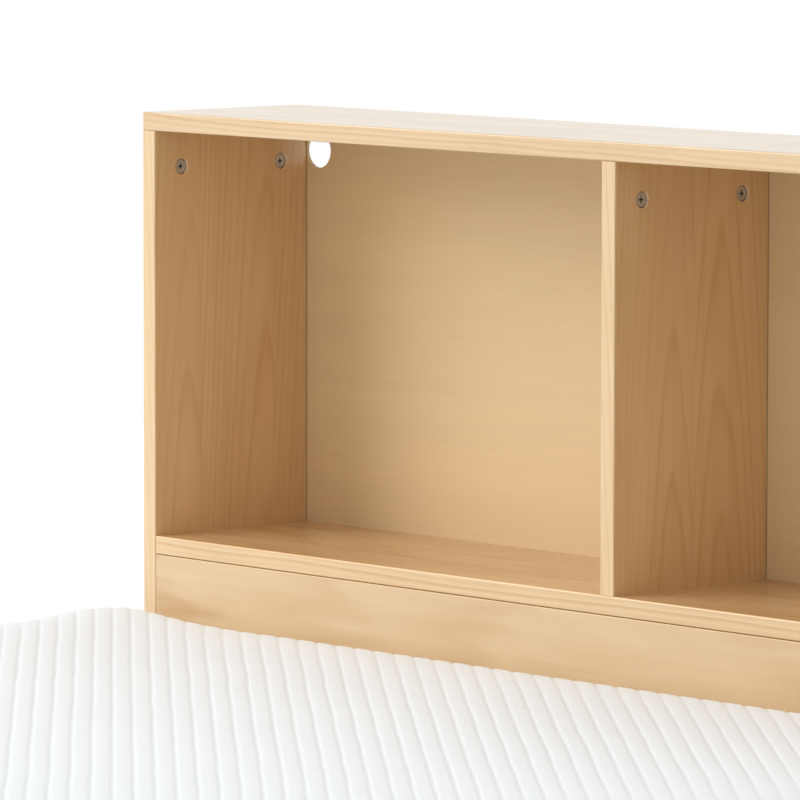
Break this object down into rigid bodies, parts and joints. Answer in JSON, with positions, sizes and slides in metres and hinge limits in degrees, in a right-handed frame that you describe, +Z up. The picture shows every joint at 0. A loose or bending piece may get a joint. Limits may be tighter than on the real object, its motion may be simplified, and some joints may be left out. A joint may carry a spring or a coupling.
{
  "type": "bookcase headboard bed",
  "caption": "Double bed with an open two-cubby bookcase headboard, a slatted pine frame on legs and a channelled mattress.",
  "frame": {"origin": "on the floor, in the middle of the whole bed's length and width", "axes": "+X to the right of a person looking at the headboard from the foot, +Y towards the head, +Z up"},
  "size_m": [1.428, 2.139, 1],
  "materials": {
    "honey_pine": "satin",
    "pine_plywood": "satin",
    "frame_pine": "matte",
    "beech": "matte",
    "cam_nickel": "satin",
    "zinc_steel": "satin",
    "hanger_steel": "satin",
    "glide_plastic": "matte",
    "knit_cover": "matte"
  },
  "bodies": {
    "bed": {"back_panel": "pine_plywood", "back_screws": "zinc_steel", "beam_hanger_foot": "hanger_steel", "beam_hanger_head": "hanger_steel", "cam_bolts": "zinc_steel", "cam_locks": "cam_nickel", "case_bolts": "zinc_steel", "case_nuts": "zinc_steel", "case_washers": "zinc_steel", "centre_beam": "frame_pine", "centre_leg_1": "frame_pine", "centre_leg_2": "frame_pine", "centre_leg_studs": "zinc_steel", "cleat_left": "frame_pine", "cleat_right": "frame_pine", "cleat_screws": "zinc_steel", "divider": "honey_pine", "divider_screws": "zinc_steel", "dowels": "beech", "foot_rail": "honey_pine", "front_panel": "honey_pine", "glide_nails": "zinc_steel", "glides": "glide_plastic", "hanger_screws": "zinc_steel", "head_rail": "honey_pine", "leg_bolts": "zinc_steel", "leg_foot_left": "honey_pine", "leg_foot_right": "honey_pine", "leg_head_left": "honey_pine", "leg_head_right": "honey_pine", "leg_nuts": "zinc_steel", "low_stretcher": "honey_pine", "shelf": "honey_pine", "shelf_stretcher": "honey_pine", "side_bolts": "zinc_steel", "side_nuts": "zinc_steel", "side_panel_left": "honey_pine", "side_panel_right": "honey_pine", "side_rail_left": "honey_pine", "side_rail_right": "honey_pine", "slat_01": "frame_pine", "slat_02": "frame_pine", "slat_03": "frame_pine", "slat_04": "frame_pine", "slat_05": "frame_pine", "slat_06": "frame_pine", "slat_07": "frame_pine", "slat_08": "frame_pine", "slat_09": "frame_pine", "slat_10": "frame_pine", "slat_11": "frame_pine", "slat_12": "frame_pine", "slat_13": "frame_pine", "slat_14": "frame_pine", "slat_screws": "zinc_steel", "top_board": "honey_pine"},
    "mattress": {"mattress": "knit_cover"}
  },
  "joints": [
    {"name": "mattress_lift", "type": "slide", "parent": "bed", "child": "mattress", "axis": [0, 0, 1], "range_m": [0, 0.7]}
  ]
}
